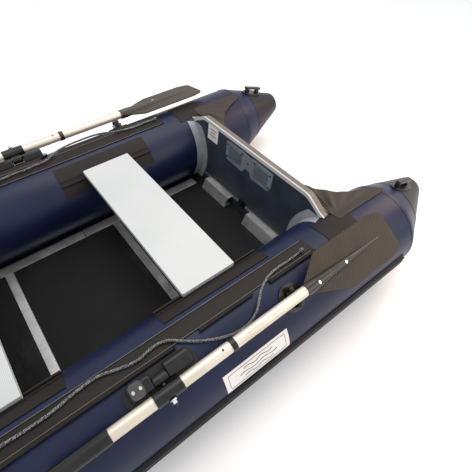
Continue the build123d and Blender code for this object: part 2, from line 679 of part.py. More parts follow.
def make_blade():
    frame = tube_frame(0, OAR_ANGLE)
    sheet = frame * Pos(0, 0, TUBE_R + OAR_LIFT - 3) * extrude(blade_outline(), amount=6)
    socket = oar_tube(BLADE_X[1] - 30, SOCKET_X, SHAFT_R + 3.2)
    start = Plane(origin=(BLADE_X[1] - 30, OAR_AXIS.Y, OAR_AXIS.Z), x_dir=(0, 1, 0), z_dir=(1, 0, 0))
    end = Plane(origin=(BLADE_X[0] + 70, OAR_AXIS.Y, OAR_AXIS.Z), x_dir=(0, 1, 0), z_dir=(1, 0, 0))
    ridge = loft([start * Circle(SHAFT_R + 3.2), end * Circle(3.6)], ruled=True)
    blade = sheet + socket + ridge
    return blade - oar_tube(SHAFT_AFT_X, SOCKET_X + 10, SHAFT_R)


def make_oars():
    aft_half, fwd_half, collar, sleeve, grip = make_shafts()
    nodes = {
        "oar_shaft_aft": aft_half,
        "oar_shaft_forward": fwd_half,
        "oar_sleeve": [sleeve, collar],
        "oar_grip": grip,
        "oar_blade": make_blade(),
        "oar_button": fillet(oar_button(BUTTON_R).edges().sort_by(Axis.Z)[-1], 1.5),
    }
    for name, shape in nodes.items():
        shapes = shape if isinstance(shape, list) else [shape]
        keep(f"port_{name}", *shapes)
        keep(f"starboard_{name}", *[stowed_starboard(item) for item in shapes])


def make_oar_holders():
    """A round patch with two horns that stop the stowed shaft rolling."""
    frame = tube_frame(HOLDER_X, OAR_ANGLE)
    patch = frame * Pos(0, 0, TUBE_R - 8) * extrude(Circle(50), amount=11)
    saddle = frame * Pos(0, 0, TUBE_R + 8) * Box(34, 52, 20)
    holder = patch + saddle
    for side in (-1, 1):
        post = frame * Pos(0, side * 29, TUBE_R) * extrude(Circle(9.5), amount=28)
        dome = frame * Pos(0, side * 29, TUBE_R + 28) * Sphere(9.5)
        holder = holder + post + dome
    keep("oar_holders", *both([holder - tube_core()]))


# ---- lifelines ----------------------------------------------------------------------------------

def bend_radii(points):
    """For each corner, the largest arc that 0.45 of its shorter run allows."""
    radii = []
    for before, here, after in zip(points, points[1:], points[2:]):
        run_in, run_out = here - before, after - here
        half_turn = radians(run_in.get_angle(run_out)) / 2
        radii.append(0.45 * min(run_in.length, run_out.length) / tan(half_turn))
    return radii


def rope(route, name):
    points = [on_tube(*place) for place in route]
    radii = bend_radii(points)
    path = FilletPolyline(*points, radius=radii)
    start = Plane(origin=path @ 0, z_dir=path % 0)
    tube = sweep(start * Circle(ROPE_D / 2), path=path)
    section = pi * ROPE_D**2 / 4
    ratio = tube.volume / (path.length * section)
    print(name, "length", round(path.length), "volume ratio", round(ratio, 4))
    print(name, "radii", [round(radius) for radius in radii])
    for end in (path @ 0, path @ 1):
        tube = tube + Pos(end.X, end.Y, end.Z + KNOT_LIFT) * Sphere(KNOT_R)
    return tube


def make_lifelines():
    keep("port_lifeline", rope(PORT_ROUTE, "port_lifeline"))
    keep("starboard_lifeline", starboard(rope(STARBOARD_ROUTE, "starboard_lifeline")))


# ---- valves and bow handle ----------------------------------------------------------------------

def valve_at(plane):
    """A valve body and its bayonet cap; the plane's origin is on the fabric, its z leaves it."""
    rim = plane * Pos(0, 0, -9) * extrude(Circle(30), amount=12)
    well = plane * Pos(0, 0, -9) * extrude(Circle(15), amount=20)
    neck = plane * extrude(Circle(20), amount=5.5)
    body = rim + neck - well
    cap = plane * Pos(0, 0, 5.8) * extrude(Circle(21), amount=9)
    cap = fillet(cap.edges(), 1.5)
    for i in range(12):
        notch = Rot(0, 0, i * 30) * Pos(22.2, 0, 10) * Cylinder(2.6, 16)
        cap = cap - plane * notch
    bar = plane * Pos(0, 0, 14.5) * Box(30, 6, 5)
    return body, cap + bar


def up_the_bow(shape):
    """Carry a shape from the last straight section to a place on the long bow curve."""
    return shape.rotate(SWEEP_A_AXIS, VALVE_SWEEP).rotate(RISE_AXIS, RISE_ANGLE)


def make_valves():
    inboard = tube_frame(BOW_START_X, VALVE_ANGLE).offset(TUBE_R)
    side_body, side_cap = valve_at(inboard)
    section = (tube_section(BOW_START_X) * Circle(TUBE_R + GAP)).rotate(SWEEP_A_AXIS, -6)
    side_body = up_the_bow(side_body - turned(section, SWEEP_A_AXIS, 12))
    side_cap = up_the_bow(side_cap)
    away = BOW_AHEAD * cos(radians(128)) + BOW_UP * sin(radians(128))
    bow = Plane(origin=BOW_POINT + away * TUBE_R, x_dir=(0, 1, 0), z_dir=away)
    bow_body, bow_cap = valve_at(bow)
    across = Plane(origin=BOW_POINT + Vector(0, -200, 0), x_dir=BOW_AHEAD, z_dir=(0, 1, 0))
    bow_core = extrude(across * Circle(TUBE_R + 1.2), amount=400)
    keep("valve_bodies", *both([side_body]), bow_body - bow_core)
    keep("port_valve_cap", side_cap)
    keep("starboard_valve_cap", starboard(side_cap))
    keep("bow_valve_cap", bow_cap)


def make_bow_handle():
    top = Plane(origin=BOW_POINT + BOW_UP * TUBE_R, x_dir=(0, 1, 0), z_dir=BOW_UP)
    bar = Pos(0, 0, 34) * Box(150, 24, 12)
    bar = fillet(bar.edges().filter_by(Axis.X), 5.0)
    handle = bar
    for dx in (-66, 66):
        handle = handle + Pos(dx, 0, 12) * Box(18, 22, 34) + Pos(dx, 0, 0) * Box(46, 46, 12)
    level = Plane((SWEEP_B_CENTRE[0], SWEEP_B_CENTRE[1], TUBE_R))
    core = Solid.make_torus(SWEEP_B_R, TUBE_R + 2 * GAP, level).rotate(RISE_AXIS, RISE_ANGLE)
    shaped = top * handle - core - starboard(core)
    keep("bow_handle", shaped)


os.makedirs("parts", exist_ok=True)
make_chambers()
make_tails()
make_stern_handles()
make_strake()
make_splash_strips()
make_bottom()
make_floor()
make_joiners()
make_stringers()
make_transom()
make_retainers()
make_motor_pads()
make_brackets()
make_drain()
make_gussets()
make_corner_patches()
make_labels()
make_seat_straps()
make_benches()
make_oarlock_bases()
make_barrel()
make_oars()
make_oar_holders()
make_lifelines()
make_valves()
make_bow_handle()
print("nodes", len(parts), "centre x", round(CENTRE_X, 2))
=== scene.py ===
# %% [markdown]
# # An inflatable dinghy, dressed for a picture
# The hard parts come in as a fixed frame, already at their real size. This lesson gives them
# their finishes and adds what a drawing program is clumsy at: rope, sagging fabric, ribs, lids,
# screws and seams. The frame is loaded first.

from math import cos, pi, radians, sin

import bmesh
import bpy
from mathutils import Matrix, Vector


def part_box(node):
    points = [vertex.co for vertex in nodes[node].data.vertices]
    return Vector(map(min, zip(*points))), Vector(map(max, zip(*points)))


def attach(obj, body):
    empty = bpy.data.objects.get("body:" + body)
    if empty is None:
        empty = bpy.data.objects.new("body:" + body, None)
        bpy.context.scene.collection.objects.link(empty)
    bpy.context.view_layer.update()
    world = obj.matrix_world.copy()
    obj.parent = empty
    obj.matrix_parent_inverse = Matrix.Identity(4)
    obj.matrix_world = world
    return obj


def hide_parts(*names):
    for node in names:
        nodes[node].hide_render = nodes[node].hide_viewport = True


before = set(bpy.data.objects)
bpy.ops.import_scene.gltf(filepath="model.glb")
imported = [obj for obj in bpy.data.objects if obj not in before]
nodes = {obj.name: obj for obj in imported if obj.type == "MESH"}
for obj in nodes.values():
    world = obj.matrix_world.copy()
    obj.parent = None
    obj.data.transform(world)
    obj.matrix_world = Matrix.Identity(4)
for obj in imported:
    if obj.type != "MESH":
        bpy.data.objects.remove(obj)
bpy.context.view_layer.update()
bpy.ops.object.select_all(action="DESELECT")

# %% [markdown]
# ## Where things are
# Everything on this boat is placed along a round tube. A place on it has three numbers: how far
# it is ahead of the transom, the angle round the tube from outboard up, and the height off the
# fabric. One small function turns those into a point, and another gives a frame on the leaning
# board, so no piece needs a guess.

# %% Places on the tube
TUBE_R = 0.190
TUBE_Y = 0.537
TRANSOM_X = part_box("floor_panel_aft")[0].x - 0.004
FLOOR_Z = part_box("floor_panel_aft")[1].z
RAKE = radians(8)


def on_tube(x, angle, lift):
    """A point beside the port tube."""
    reach = TUBE_R + lift
    turn = radians(angle)
    return Vector((TRANSOM_X + x, TUBE_Y + reach * cos(turn), TUBE_R + reach * sin(turn)))


def board_frame(y, up, lift=0.0):
    """A frame on the transom's inner face: X leaves the board, Y runs to port, Z runs up it."""
    lean = Matrix.Rotation(-RAKE, 4, "Y")
    return Matrix.Translation((TRANSOM_X, 0, FLOOR_Z)) @ lean @ Matrix.Translation((lift, y, up))


print("transom foot at x =", round(TRANSOM_X, 4), "floor top at z =", round(FLOOR_Z, 4))

# %% [markdown]
# ## Camera
# The camera stands above the bow end and looks back down at the port quarter. It is set before
# any piece is made, because a free rope may only spread where the camera looks.

# %% Camera
camera_data = bpy.data.cameras.new("camera")
camera_data.lens = 28.27
camera_data.sensor_width = 36.0
camera_data.clip_start = 0.05
camera = bpy.data.objects.new("camera", camera_data)
bpy.context.scene.collection.objects.link(camera)
heading = Matrix.Rotation(radians(140.93), 4, "Z")
pitch = Matrix.Rotation(radians(90 - 49.02), 4, "X")
roll = Matrix.Rotation(radians(0.93), 4, "Z")
stand = Matrix.Translation((TRANSOM_X + 0.8739, 1.0401, 1.4310))
camera.matrix_world = stand @ heading @ pitch @ roll
bpy.context.scene.camera = camera
print("camera at", [round(v, 3) for v in camera.location])

# %% [markdown]
# ## Light and floor
# Soft light from a pale sky suits coated fabric, which shows its curve by one broad sheen. A
# large panel over the boat gives that sheen, a warm one behind the stern browns the tube tops,
# and a smaller one at the side lifts the tube's flank. The floor is plain and nearly white.

# %% Light and floor
world = bpy.data.worlds.new("pale_sky")
world.use_nodes = True
world.node_tree.nodes["Background"].inputs["Color"].default_value = (0.97, 0.98, 1.0, 1.0)
world.node_tree.nodes["Background"].inputs["Strength"].default_value = 1.0
bpy.context.scene.world = world
bpy.context.scene.view_settings.view_transform = "Standard"


def panel_light(name, place, target, size, power, colour):
    """A soft square light that faces the target."""
    data = bpy.data.lights.new(name, "AREA")
    data.size = size
    data.energy = power
    data.color = colour
    light = bpy.data.objects.new(name, data)
    bpy.context.scene.collection.objects.link(light)
    light.location = place
    light.rotation_euler = (Vector(target) - Vector(place)).to_track_quat("-Z", "Y").to_euler()
    return light


panel_light("sky_panel", (-1.2, -0.6, 3.4), (-0.4, 0, 0.2), 2.6, 60, (1.0, 0.98, 0.95))
panel_light("warm_panel", (-2.9, 0.5, 1.7), (-1.1, 0.3, 0.3), 1.2, 26, (1.0, 0.72, 0.50))
panel_light("side_panel", (-2.2, 2.6, 1.8), (-0.6, 0.4, 0.2), 1.8, 22, (1.0, 0.95, 0.9))

bpy.ops.mesh.primitive_plane_add(size=60, location=(0, 0, -0.0005))
floor = bpy.context.object
floor.name = "floor"
bpy.ops.object.select_all(action="DESELECT")

# %% [markdown]
# ## Finishes
# Each finish starts from one recipe: a colour that drifts a little between two tones, a
# roughness that drifts with it, and a fine bump. Real surfaces differ in scale and in how much
# of each they have, so those are the recipe's inputs.

# %% A recipe for a finish


def add_node(tree, kind, **inputs):
    """A node with some of its inputs set by name."""
    node = tree.nodes.new(kind)
    for key, value in inputs.items():
        node.inputs[key.replace("_", " ")].default_value = value
    return node


def noise(tree, place, scale, detail=4.0, roughness=0.55):
    """Cloudy noise that reads the given coordinates."""
    node = add_node(tree, "ShaderNodeTexNoise", Scale=scale, Detail=detail, Roughness=roughness)
    tree.links.new(place, node.inputs["Vector"])
    return node.outputs["Fac"]


def spread(tree, value, low, high, out_low, out_high):
    """Maps one range of values onto another."""
    node = tree.nodes.new("ShaderNodeMapRange")
    names = ("From Min", "From Max", "To Min", "To Max")
    for key, number in zip(names, (low, high, out_low, out_high)):
        node.inputs[key].default_value = number
    tree.links.new(value, node.inputs["Value"])
    return node.outputs["Result"]


def blend_colour(tree, share, first, second):
    """Mixes two colours, or two colour sockets, by a share."""
    node = tree.nodes.new("ShaderNodeMix")
    node.data_type = "RGBA"
    for key, colour in (("A_Color", first), ("B_Color", second)):
        socket = next(s for s in node.inputs if s.identifier == key)
        if isinstance(colour, tuple):
            socket.default_value = (*colour, 1.0)
        else:
            tree.links.new(colour, socket)
    tree.links.new(share, next(s for s in node.inputs if s.identifier == "Factor_Float"))
    return next(s for s in node.outputs if s.identifier == "Result_Color")


def finish_of(name, dark, light, rough=(0.4, 0.5), scale=6.0, grain=400.0, depth=0.0003, metal=0.0):
    """A finish with drifting tone, drifting roughness and a fine bump. Returns it and its parts."""
    made = bpy.data.materials.new(name)
    made.use_nodes = True
    tree = made.node_tree
    shader = tree.nodes["Principled BSDF"]
    shader.inputs["Metallic"].default_value = metal
    place = tree.nodes.new("ShaderNodeTexCoord").outputs["Object"]
    drift = noise(tree, place, scale)
    colour = blend_colour(tree, spread(tree, drift, 0.3, 0.7, 0.0, 1.0), dark, light)
    tree.links.new(colour, shader.inputs["Base Color"])
    tree.links.new(spread(tree, drift, 0.3, 0.7, *rough), shader.inputs["Roughness"])
    bump = add_node(tree, "ShaderNodeBump", Distance=depth, Strength=0.6)
    tree.links.new(noise(tree, place, grain, 2.0), bump.inputs["Height"])
    tree.links.new(bump.outputs["Normal"], shader.inputs["Normal"])
    return made, tree, shader, place, colour, bump


def wear(base, stretched, tone, scale, low, high):
    """Paints a second tone over a finish where a stretched noise is high."""
    made, tree, shader, place, colour, bump = base
    stretch = tree.nodes.new("ShaderNodeMapping")
    stretch.inputs["Scale"].default_value = stretched
    tree.links.new(place, stretch.inputs["Vector"])
    patches = noise(tree, stretch.outputs["Vector"], scale, 6.0, 0.65)
    share = spread(tree, patches, low, high, 0.0, 1.0)
    worn = blend_colour(tree, share, colour, tone)
    tree.links.new(worn, shader.inputs["Base Color"])
    return made, tree, shader, place, worn, bump


def clad(finish, *node_names):
    """Gives a finish to CAD nodes."""
    for node_name in node_names:
        mesh = nodes[node_name].data
        mesh.materials.clear()
        mesh.materials.append(finish)


print("recipe ready")

# %% [markdown]
# ## Coated fabrics and rubber
# The tubes are navy coated fabric with a satin face. Patches, straps and strips are the same
# cloth in black, which looks warm and a little brown in daylight, and duller. The strake is
# extruded rubber.

# %% Fabrics and rubber
navy_cloth = finish_of(
    "navy_cloth", (0.0035, 0.006, 0.027), (0.006, 0.011, 0.044), (0.34, 0.44), 3.0, 700.0,
    0.00015,
)
black_cloth = finish_of(
    "black_cloth", (0.010, 0.0078, 0.0065), (0.017, 0.013, 0.011), (0.50, 0.62), 7.0, 900.0,
    0.0003,
)
strake_rubber = finish_of(
    "strake_rubber", (0.010, 0.010, 0.011), (0.017, 0.016, 0.016), (0.38, 0.5), 9.0, 300.0,
    0.0002,
)
skin_cloth = finish_of(
    "skin_cloth", (0.016, 0.017, 0.024), (0.025, 0.026, 0.034), (0.5, 0.62), 5.0, 500.0, 0.0003,
)
cap_cloth = finish_of(
    "cap_cloth", (0.009, 0.0085, 0.0095), (0.016, 0.014, 0.015), (0.36, 0.46), 5.0, 500.0, 0.0003,
)
clad(navy_cloth[0], "port_chamber", "starboard_chamber", "bow_chamber", "tail_cones", "keel_tube")
clad(black_cloth[0], "splash_strips", "seat_straps", "corner_patches")
clad(strake_rubber[0], "rub_strake", "bow_handle")
clad(skin_cloth[0], "bottom_skin")
clad(cap_cloth[0], "tail_caps")
print("fabrics:", navy_cloth[0].name, black_cloth[0].name)

# %% [markdown]
# ## Boards and metal
# The floor is phenolic-faced ply, nearly black with a pebbled grip. The joiners, side channels
# and brackets are drawn aluminium, so their grain runs along them. The transom is painted a
# slate blue, and its paint is scuffed where gear has rubbed.

# %% Boards and metal
floor_ply = finish_of(
    "floor_ply", (0.0025, 0.0025, 0.003), (0.006, 0.006, 0.007), (0.5, 0.66), 11.0, 260.0, 0.0006,
)
floor_ply = wear(floor_ply, (1.0, 0.25, 1.0), (0.03, 0.029, 0.027), 9.0, 0.60, 0.85)
drawn_metal = finish_of(
    "drawn_metal", (0.42, 0.42, 0.42), (0.58, 0.57, 0.56), (0.32, 0.45), 14.0, 500.0, 0.0002,
    0.85,
)
slate_paint = finish_of(
    "slate_paint", (0.020, 0.026, 0.036), (0.034, 0.042, 0.055), (0.36, 0.52), 8.0, 350.0, 0.0004,
)
slate_paint = wear(slate_paint, (1.0, 1.0, 3.5), (0.11, 0.12, 0.14), 7.0, 0.60, 0.82)
trim_grey = finish_of(
    "trim_grey", (0.20, 0.21, 0.23), (0.30, 0.31, 0.33), (0.34, 0.46), 12.0, 400.0, 0.0003,
)
pad_grey = finish_of(
    "pad_grey", (0.12, 0.135, 0.16), (0.17, 0.19, 0.22), (0.45, 0.58), 12.0, 500.0, 0.0004,
)
bench_white = finish_of(
    "bench_white", (0.46, 0.48, 0.48), (0.53, 0.545, 0.545), (0.30, 0.42), 4.0, 500.0, 0.0002,
)
clad(
    floor_ply[0], "floor_panel_aft", "floor_panel_middle", "floor_panel_forward",
    "floor_panel_bow",
)
clad(drawn_metal[0], "floor_joiners", "floor_stringers", "floor_brackets", "transom_bottom_strip")
clad(drawn_metal[0], "aft_bench_hooks", "front_bench_hooks")
clad(slate_paint[0], "transom_board")
clad(trim_grey[0], "transom_trim", "transom_retainers")
clad(pad_grey[0], "motor_pad_inner", "motor_pad_outer")
clad(bench_white[0], "aft_bench", "front_bench")
print("boards and metal done")

# %% [markdown]
# ## Plastics and bright parts
# The oarlocks, caps and plug are moulded in glossy black, the blades in a browner, duller one.
# The oars' tubes are champagne anodised, and the screws and nuts are bright.

# %% Plastics and bright parts
moulded_black = finish_of(
    "moulded_black", (0.005, 0.0048, 0.0045), (0.010, 0.0095, 0.009), (0.24, 0.34), 20.0, 600.0,
    0.0002,
)
blade_plastic = finish_of(
    "blade_plastic", (0.052, 0.037, 0.025), (0.070, 0.051, 0.035), (0.42, 0.52), 10.0, 500.0,
    0.0002,
)
champagne = finish_of(
    "champagne", (0.60, 0.535, 0.44), (0.70, 0.64, 0.55), (0.34, 0.44), 9.0, 700.0, 0.0001, 0.6,
)
bright_metal = finish_of(
    "bright_metal", (0.60, 0.60, 0.60), (0.75, 0.75, 0.74), (0.12, 0.22), 30.0, 500.0, 0.0001,
    1.0,
)
plate_cream = finish_of(
    "plate_cream", (0.66, 0.62, 0.58), (0.74, 0.70, 0.66), (0.35, 0.45), 12.0, 500.0, 0.0001,
)
clad(
    moulded_black[0], "stern_handles", "drain_fitting", "drain_plug", "oarlock_bases",
    "oar_holders", "valve_bodies",
)
clad(moulded_black[0], "port_valve_cap", "starboard_valve_cap", "bow_valve_cap")
for side in ("port", "starboard"):
    clad(
        moulded_black[0], f"{side}_oar_sleeve", f"{side}_oar_grip", f"{side}_oar_button",
        f"{side}_oarlock_barrel",
    )
    clad(blade_plastic[0], f"{side}_oar_blade")
    clad(champagne[0], f"{side}_oar_shaft_aft", f"{side}_oar_shaft_forward")
    clad(bright_metal[0], f"{side}_oarlock_nut")
clad(bright_metal[0], "transom_screws")
clad(plate_cream[0], "label_plates")
print("finishes:", len(bpy.data.materials))

floor_finish = finish_of(
    "floor_finish", (0.90, 0.90, 0.90), (0.93, 0.93, 0.93), (0.7, 0.8), 2.0, 50.0, 0.0001,
)
floor.data.materials.append(floor_finish[0])

# %% [markdown]
# ## Working round a tube
# Labels, lids and screws are flat when they are cut, and take the tube's curve when they are
# stuck on. They are modelled flat here too, with X ahead, Y outboard and Z off the fabric, and
# then wrapped. The starboard one is the mirror image, so its faces are turned out again.

# %% Wrap a flat piece round a tube


def finished(piece, name, finish, body="hull"):
    """Names a piece, gives it its finish, and lets it ride on a body."""
    piece.name = name
    piece.data.materials.clear()
    piece.data.materials.append(finish[0])
    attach(piece, body)
    bpy.ops.object.select_all(action="DESELECT")
    return piece


def settle(piece):
    """Moves a piece's place into its mesh."""
    bpy.ops.object.select_all(action="DESELECT")
    piece.select_set(True)
    bpy.context.view_layer.objects.active = piece
    bpy.ops.object.transform_apply(location=True, rotation=True, scale=True)


def turn_faces_out(piece):
    """Recalculates the normals of a closed piece."""
    bpy.ops.object.select_all(action="DESELECT")
    bpy.context.view_layer.objects.active = piece
    piece.select_set(True)
    bpy.ops.object.mode_set(mode="EDIT")
    bpy.ops.mesh.select_all(action="SELECT")
    bpy.ops.mesh.normals_make_consistent(inside=False)
    bpy.ops.object.mode_set(mode="OBJECT")


def wrap(piece, x, angle, side):
    """Wraps a flat piece round the port tube, or round the starboard one where side is -1."""
    for vertex in piece.data.vertices:
        flat = vertex.co.copy()
        place = on_tube(x + flat.x, angle - flat.y / TUBE_R * 180 / pi, flat.z)
        vertex.co = (place.x, place.y * side, place.z)
    turn_faces_out(piece)


def rounded_plate(length, width, corner, thick, low, cuts=16):
    """A flat plate with round corners, cut across often enough to bend."""
    bpy.ops.object.select_all(action="DESELECT")
    bpy.ops.mesh.primitive_grid_add(x_subdivisions=2, y_subdivisions=2, size=1)
    plate = bpy.context.object
    plate.scale = (length, width, 1)
    settle(plate)
    bpy.ops.object.mode_set(mode="EDIT")
    bpy.ops.mesh.select_all(action="SELECT")
    bpy.ops.mesh.dissolve_limited(angle_limit=0.1)
    bpy.ops.mesh.select_all(action="SELECT")
    bpy.ops.mesh.bevel(offset=corner, segments=6, affect="VERTICES")
    for step in range(1, cuts):
        along = (step / cuts - 0.5) * width
        bpy.ops.mesh.select_all(action="SELECT")
        bpy.ops.mesh.bisect(plane_co=(0, along, 0), plane_no=(0, 1, 0))
    bpy.ops.mesh.select_all(action="SELECT")
    bpy.ops.mesh.extrude_region_move(TRANSFORM_OT_translate={"value": (0, 0, thick)})
    bpy.ops.object.mode_set(mode="OBJECT")
    for vertex in plate.data.vertices:
        vertex.co.z += low
    turn_faces_out(plate)
    return plate


print("wrapping ready")

# %% [markdown]
# ## Lifelines
# A lifeline is 9 mm braid laid along the tube's shoulder and knotted at both ends. It is one
# smooth spline whose control points are places on the tube, so it can't sink into the fabric.
# The braid's black and white yarns are a pattern on the rope's own length and girth.

# %% Braided rope finish
ROPE_D = 0.009
KNOT_LIFT = 0.0034
rope_braid = finish_of(
    "rope_braid", (0.010, 0.010, 0.012), (0.022, 0.021, 0.022), (0.5, 0.65), 60.0, 900.0, 0.0002,
)
braid_tree, braid_shader = rope_braid[1], rope_braid[2]
girth = braid_tree.nodes.new("ShaderNodeTexCoord").outputs["UV"]
yarns = braid_tree.nodes.new("ShaderNodeMapping")
yarns.inputs["Scale"].default_value = (170.0, 5.0, 1.0)
braid_tree.links.new(girth, yarns.inputs["Vector"])
slant = braid_tree.nodes.new("ShaderNodeMapping")
slant.inputs["Rotation"].default_value = (0, 0, radians(45))
braid_tree.links.new(yarns.outputs["Vector"], slant.inputs["Vector"])
bricks = add_node(braid_tree, "ShaderNodeTexBrick", Scale=1.0, Mortar_Size=0.06, Bias=-0.15)
bricks.inputs["Color1"].default_value = (0.012, 0.012, 0.014, 1)
bricks.inputs["Color2"].default_value = (0.62, 0.63, 0.65, 1)
bricks.inputs["Mortar"].default_value = (0.003, 0.003, 0.004, 1)
braid_tree.links.new(slant.outputs["Vector"], bricks.inputs["Vector"])
braid_tree.links.new(bricks.outputs["Color"], braid_shader.inputs["Base Color"])
print("rope finish:", rope_braid[0].name)

# %% Lay the lifelines
PORT_ROUTE = [
    (1.292, 93, 0.009), (1.215, 95.5, 0.009), (1.140, 94, 0.009), (1.066, 94.5, 0.009),
    (0.990, 98.5, 0.009), (0.930, 99.5, 0.009), (0.880, 94, 0.009), (0.822, 89.5, 0.009),
    (0.765, 93.5, 0.010), (0.722, 91, 0.011), (0.690, 82.5, 0.011), (0.650, 74.5, 0.009),
    (0.602, 67, 0.009), (0.550, 61.5, 0.009), (0.496, 60, 0.009), (0.448, 64, 0.009),
    (0.412, 72.5, 0.010), (0.380, 81, 0.011), (0.330, 87.5, 0.010), (0.272, 89.5, 0.009),
    (0.214, 88.5, 0.009), (0.160, 90, 0.009),
]
STARBOARD_ROUTE = [
    (1.292, 94, 0.009), (1.215, 92.5, 0.009), (1.142, 94.5, 0.009), (1.068, 92, 0.009),
    (1.004, 94, 0.009), (0.950, 92, 0.009), (0.898, 94, 0.009), (0.846, 91.5, 0.009),
    (0.796, 93.5, 0.009), (0.752, 91, 0.010), (0.716, 92.5, 0.011), (0.682, 88.5, 0.011),
    (0.650, 81, 0.011), (0.612, 73, 0.010), (0.568, 66.5, 0.009), (0.520, 63, 0.009),
    (0.470, 62.5, 0.009), (0.424, 67, 0.009), (0.390, 76, 0.010), (0.356, 84.5, 0.011),
    (0.302, 89, 0.010), (0.242, 90.5, 0.009), (0.190, 88.5, 0.009), (0.140, 90, 0.009),
]


def spline_piece(name, points, thick):
    """A smooth round piece along one spline."""
    curve = bpy.data.curves.new(name, "CURVE")
    curve.dimensions = "3D"
    curve.bevel_depth = thick / 2
    curve.bevel_resolution = 3
    curve.use_fill_caps = True
    curve.resolution_u = 8
    spline = curve.splines.new("NURBS")
    spline.points.add(len(points) - 1)
    for point, place in zip(spline.points, points):
        point.co = (*place, 1.0)
    spline.order_u = 3
    spline.use_endpoint_u = True
    piece = bpy.data.objects.new(name, curve)
    bpy.context.scene.collection.objects.link(piece)
    return piece


def knot(name, place, along):
    """Two and a half rising turns about the rope, pulled tight."""
    across = along.cross(Vector((0, 0, 1))).normalized()
    over = across.cross(along).normalized()
    turns = []
    for step in range(21):
        turn = 2 * pi * 2.5 * step / 20
        drift = (step / 20 - 0.5) * 0.013
        turns.append(place + along * drift + (across * cos(turn) + over * sin(turn)) * 0.0062)
    return spline_piece(name, turns, 0.0056)


for side, route, length in (("port", PORT_ROUTE, 1.196), ("starboard", STARBOARD_ROUTE, 1.208)):
    hand = 1 if side == "port" else -1
    points = [on_tube(*place) for place in route]
    points = [Vector((p.x, p.y * hand, p.z)) for p in points]
    rope = spline_piece(f"{side}_rope", points, ROPE_D)
    rope.data.materials.append(rope_braid[0])
    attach(rope, "hull")
    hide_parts(f"{side}_lifeline")
    for end, here, beyond in (("fore", points[0], points[1]), ("aft", points[-1], points[-2])):
        raised = here + Vector((0, 0, KNOT_LIFT))
        tied = knot(f"{side}_knot_{end}", raised, (here - beyond).normalized())
        tied.data.materials.append(rope_braid[0])
        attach(tied, "hull")
    print(side, "rope with", len(points), "points")

# %% [markdown]
# ## Gussets
# A sheet of black cloth bridges the corner behind the board. It is glued along the board and
# along the tube, and hangs free between, so its wrinkles fan out from the corner. It is built
# as rays from that corner to the hollow free edge, and each ray is lifted or dropped a little
# to make the folds. Where it lies on the tube it takes the tube's height.

# %% Gusset sheets
FREE_EDGE = [
    (-0.078, 0.205), (-0.094, 0.226), (-0.116, 0.262), (-0.133, 0.308), (-0.165, 0.353),
    (-0.200, 0.394), (-0.260, 0.430), (-0.330, 0.461), (-0.376, 0.500), (-0.330, 0.514),
]
CORNER = (-0.080, 0.512)
RAYS = 72
RINGS = 26


def between(places, share):
    """A place part of the way along a row of places."""
    spot = share * (len(places) - 1)
    low = min(int(spot), len(places) - 2)
    return Vector(places[low]).lerp(Vector(places[low + 1]), spot - low)


def flat_area():
    """The area of the cut before it is glued, from its outline."""
    outline = [CORNER, *FREE_EDGE]
    pairs = zip(outline, outline[1:] + outline[:1])
    return abs(sum(a[0] * b[1] - b[0] * a[1] for a, b in pairs)) / 2


print("gusset cut:", round(flat_area(), 4), "square metres")


def cloth_height(x, y):
    """How high the tube's fabric is under the cloth."""
    inside = TUBE_R**2 - (y - TUBE_Y) ** 2
    tube = TUBE_R + inside**0.5 if inside > 0 else 0.0
    return max(tube + 0.0018 if x > -0.352 else 0.0, 0.3715)


def gusset(side, hand):
    mesh = bpy.data.meshes.new(f"{side}_corner_cloth")
    shape = bmesh.new()
    rows = []
    for ray in range(RAYS + 1):
        share = ray / RAYS
        tip = between(FREE_EDGE, share)
        row = []
        for ring in range(1, RINGS + 1):
            out = ring / RINGS
            x, y = Vector(CORNER).lerp(tip, out)
            open_cloth = max(0.0, min(1.0, (0.470 - y) / 0.05))
            fold = sin(share * 46) * 0.6 + sin(share * 27 + 1.1) * 0.4
            lift = 0.0062 * fold * out * (1.15 - out) * open_cloth * 3
            roll = -0.004 * max(0.0, out - 0.9) / 0.1 * open_cloth
            z = cloth_height(x, y) + 0.004 * open_cloth * (1 - share) + lift + roll
            row.append(shape.verts.new((TRANSOM_X + x, hand * y, z)))
        rows.append(row)
    for row, after in zip(rows, rows[1:]):
        for ring in range(RINGS - 1):
            shape.faces.new((row[ring], row[ring + 1], after[ring + 1], after[ring]))
    hub = shape.verts.new((TRANSOM_X + CORNER[0], hand * CORNER[1], cloth_height(*CORNER)))
    for row, after in zip(rows, rows[1:]):
        shape.faces.new((hub, row[0], after[0]))
    bmesh.ops.recalc_face_normals(shape, faces=shape.faces)
    area = sum(face.calc_area() for face in shape.faces)
    shape.to_mesh(mesh)
    shape.free()
    cloth = bpy.data.objects.new(f"{side}_corner_cloth", mesh)
    bpy.context.scene.collection.objects.link(cloth)
    skin = cloth.modifiers.new("cloth", "SOLIDIFY")
    skin.thickness = 0.0016
    skin.offset = 1.0
    bpy.ops.object.select_all(action="DESELECT")
    bpy.context.view_layer.objects.active = cloth
    cloth.select_set(True)
    bpy.ops.object.modifier_apply(modifier="cloth")
    bpy.ops.object.shade_smooth()
    print(side, "gusset cloth area", round(area, 4))
    return cloth


gusset_cloth = finish_of(
    "gusset_cloth", (0.024, 0.0165, 0.012), (0.036, 0.026, 0.019), (0.46, 0.6), 9.0, 700.0,
    0.0003,
)
for side, hand in (("port", 1), ("starboard", -1)):
    cloth = finished(gusset(side, hand), f"{side}_corner_cloth", gusset_cloth)
    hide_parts(f"{side}_gusset")
    flat_area()

# %% [markdown]
# ## Transom edge, pads and plate
# The board's edge wears a moulded cap whose inner lip has gone pale, while its top and back stay
# brown-grey. One dot product with the board's lean tells the two apart, so the line between them
# is straight however the cap curves. The clamp pad's two fields are cut with fine diagonal
# ribs, which are thin plates of their own.

